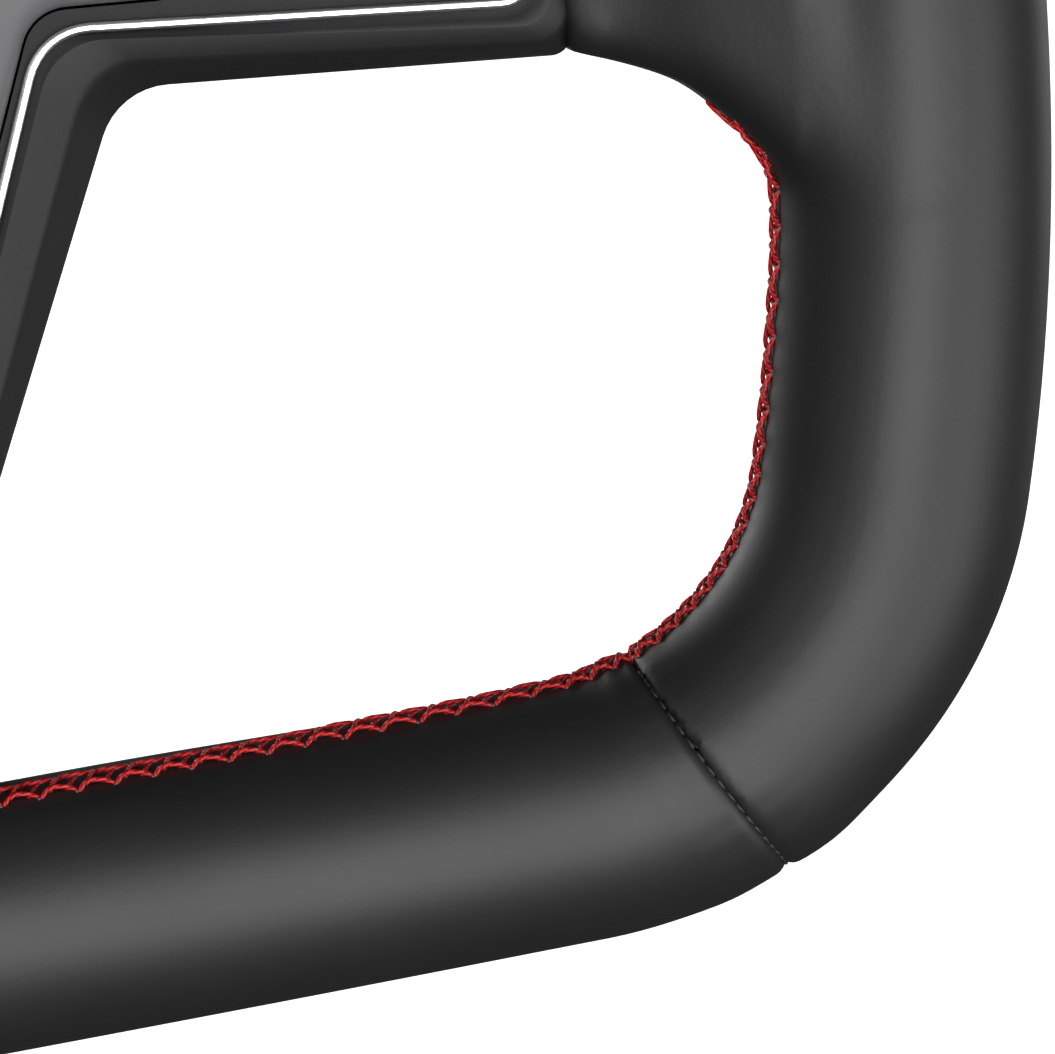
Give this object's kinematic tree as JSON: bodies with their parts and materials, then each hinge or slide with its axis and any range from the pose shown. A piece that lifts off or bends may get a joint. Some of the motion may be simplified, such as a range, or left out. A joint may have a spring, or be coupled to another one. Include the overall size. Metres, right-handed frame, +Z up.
{
  "type": "quick release steering wheel",
  "caption": "Flat-bottomed leather steering wheel on a ball-lock quick release: pull the collar towards the driver and the wheel slides off its splined column hub.",
  "frame": {"origin": "centre of the rear mouth of the steering-shaft bore in the column hub", "axes": "+Y is the steering axis, pointing away from the driver into the column; +X is the driver's right; +Z is up with the wheel straight ahead"},
  "size_m": [0.35, 0.1157, 0.317],
  "materials": {
    "steel": "black powder coat",
    "foam": "dense polyurethane foam",
    "leather": "smooth matte nappa",
    "red_thread": "waxed twisted thread",
    "black_thread": "waxed thread",
    "bezel_plastic": "fine matte grain",
    "chrome": "mirror bright",
    "gloss_black": "polished",
    "pad_grey": "satin moulded",
    "brass": "stamped",
    "spring_steel": "oiled spring steel",
    "screw_steel": "black oxide",
    "socket_aluminium": "hard anodised, turned",
    "collar_red": "red anodised, knurled",
    "ball_steel": "hardened and polished",
    "spindle_steel": "turned steel"
  },
  "bodies": {
    "column": {"spline_spindle": "spindle_steel", "spindle_screws": "screw_steel", "hub_flange": "spindle_steel", "column_hub": "spindle_steel", "grub_screws": "screw_steel"},
    "wheel": {"armature": "steel", "rim_foam": "foam", "leather_upper": "leather", "leather_right": "leather", "leather_left": "leather", "leather_lower": "leather", "spoke_root_right": "leather", "spoke_root_left": "leather", "lacing_upper": "red_thread", "lacing_lower": "red_thread", "seam_threads": "black_thread", "front_bezel": "bezel_plastic", "chrome_trim": "chrome", "gloss_panel": "gloss_black", "horn_contact_ring": "brass", "rear_cover": "bezel_plastic", "cover_screws": "screw_steel", "hub_screws": "screw_steel", "qr_socket": "socket_aluminium", "circlip": "spring_steel", "horn_springs": "spring_steel", "collar_spring": "spring_steel"},
    "pad": {"horn_pad": "pad_grey", "horn_contact_plate": "brass"},
    "collar": {"release_collar": "collar_red"},
    "ball_1": {"lock_ball_1": "ball_steel"},
    "ball_2": {"lock_ball_2": "ball_steel"},
    "ball_3": {"lock_ball_3": "ball_steel"},
    "ball_4": {"lock_ball_4": "ball_steel"},
    "ball_5": {"lock_ball_5": "ball_steel"},
    "ball_6": {"lock_ball_6": "ball_steel"}
  },
  "joints": [
    {"name": "wheel_release", "type": "slide", "parent": "column", "child": "wheel", "axis": [0, -1, 0], "range_m": [0, 0.06]},
    {"name": "collar_pull", "type": "slide", "parent": "wheel", "child": "collar", "axis": [0, -1, 0], "range_m": [0, 0.007], "stiffness_N_per_m": 2500, "springref_m": -0.004, "deforming": ["collar_spring"]},
    {"name": "horn_press", "type": "slide", "parent": "wheel", "child": "pad", "axis": [0, 1, 0], "range_m": [0, 0.0015], "stiffness_N_per_m": 4000, "springref_m": -0.002, "deforming": ["horn_springs"]},
    {"name": "ball_slide_1", "type": "slide", "parent": "wheel", "child": "ball_1", "axis": [1, 0, 0], "range_m": [0, 0.0016]},
    {"name": "ball_slide_2", "type": "slide", "parent": "wheel", "child": "ball_2", "axis": [0.5, 0, 0.866], "range_m": [0, 0.0016]},
    {"name": "ball_slide_3", "type": "slide", "parent": "wheel", "child": "ball_3", "axis": [-0.5, 0, 0.866], "range_m": [0, 0.0016]},
    {"name": "ball_slide_4", "type": "slide", "parent": "wheel", "child": "ball_4", "axis": [-1, 0, 0], "range_m": [0, 0.0016]},
    {"name": "ball_slide_5", "type": "slide", "parent": "wheel", "child": "ball_5", "axis": [-0.5, 0, -0.866], "range_m": [0, 0.0016]},
    {"name": "ball_slide_6", "type": "slide", "parent": "wheel", "child": "ball_6", "axis": [0.5, 0, -0.866], "range_m": [0, 0.0016]}
  ],
  "couplings": [
    {"joint": "ball_slide_1", "follows": "collar_pull", "ratio": 0.2285},
    {"joint": "ball_slide_2", "follows": "collar_pull", "ratio": 0.2285},
    {"joint": "ball_slide_3", "follows": "collar_pull", "ratio": 0.2285},
    {"joint": "ball_slide_4", "follows": "collar_pull", "ratio": 0.2285},
    {"joint": "ball_slide_5", "follows": "collar_pull", "ratio": 0.2285},
    {"joint": "ball_slide_6", "follows": "collar_pull", "ratio": 0.2285}
  ]
}
